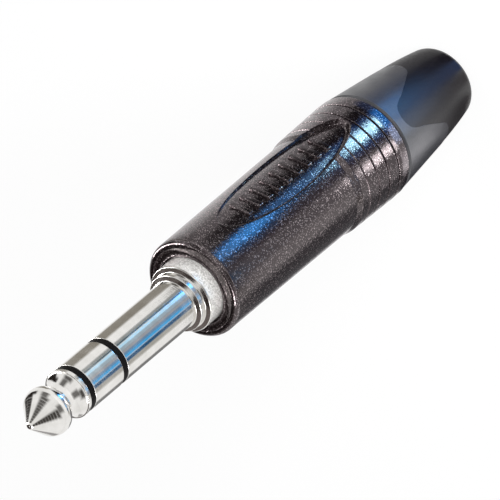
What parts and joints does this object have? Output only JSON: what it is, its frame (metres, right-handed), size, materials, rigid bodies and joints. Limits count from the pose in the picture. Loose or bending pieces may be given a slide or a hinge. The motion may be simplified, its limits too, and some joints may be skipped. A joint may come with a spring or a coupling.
{
  "type": "stereo jack plug",
  "caption": "Slim straight audio plug: coaxial contact finger, ribbed tapered handle with an oval recess, screw-on tapered boot that clamps the cable.",
  "frame": {"origin": "centre of the boot's end face, on the plug's axis", "axes": "+Z along the axis towards the tip, +X towards the middle of the oval recess"},
  "size_m": [0.0144, 0.0144, 0.0867],
  "materials": {
    "nickel": "bright nickel plate on brass",
    "tin": "dull tin plate on brass sheet",
    "band": "satin",
    "washer": "pressed fibre",
    "lacquer": "black lacquer with fine sparkle",
    "liner": "thin, slightly waxy",
    "chuck": "satin",
    "hard_boot": "satin",
    "soft_boot": "matt"
  },
  "bodies": {
    "handle": {"shell": "lacquer", "liner": "liner", "tip_contact": "nickel", "tip_insulator": "band", "ring_contact": "nickel", "ring_insulator": "band", "sleeve_contact": "nickel", "sleeve_terminal": "tin", "front_washer": "washer", "ring_terminal": "tin", "middle_washer": "washer", "tip_terminal": "tin"},
    "clamp": {"chuck": "chuck"},
    "boot": {"boot_nut": "hard_boot", "boot_gland": "soft_boot"}
  },
  "joints": [
    {"name": "chuck_slide", "type": "slide", "parent": "handle", "child": "clamp", "axis": [0, 0, -1], "range_m": [0, 0.005]},
    {"name": "boot_turn", "type": "hinge", "parent": "clamp", "child": "boot", "pos_m": [0, 0, 0], "axis": [0, 0, -1], "range_deg": [0, 1800]}
  ],
  "couplings": [
    {"joint": "boot_turn", "follows": "chuck_slide", "rad_per_m": 6283.2}
  ]
}
